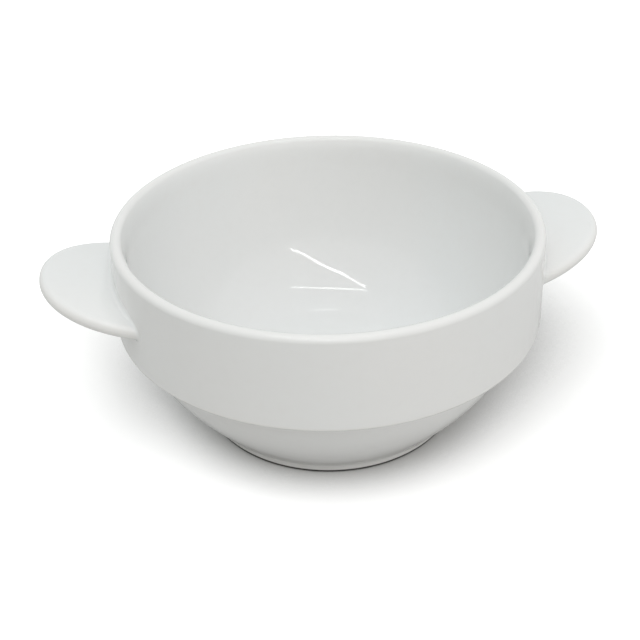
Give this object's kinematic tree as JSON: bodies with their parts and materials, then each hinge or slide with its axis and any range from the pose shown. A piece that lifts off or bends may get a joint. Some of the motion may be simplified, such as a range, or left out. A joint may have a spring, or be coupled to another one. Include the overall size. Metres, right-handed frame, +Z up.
{
  "type": "lug soup bowl",
  "caption": "White glazed porcelain soup bowl with flat ear lugs, a straight upper band over a stacking ledge, a tapering cup and a foot ring.",
  "frame": {"origin": "centre of the foot ring on the table", "axes": "+Z up along the bowl's turning axis, +X through the right lug, +Y to the back"},
  "size_m": [0.1592, 0.1218, 0.06],
  "materials": {
    "glazed_porcelain": "clear gloss glaze over white porcelain, foot ring bare",
    "glazed_slip": "fired luting slip under the same clear gloss glaze"
  },
  "bodies": {
    "root": {"bowl_body": "glazed_porcelain", "left_lug": "glazed_porcelain", "right_lug": "glazed_porcelain", "left_lug_slip": "glazed_slip", "right_lug_slip": "glazed_slip"}
  },
  "joints": []
}
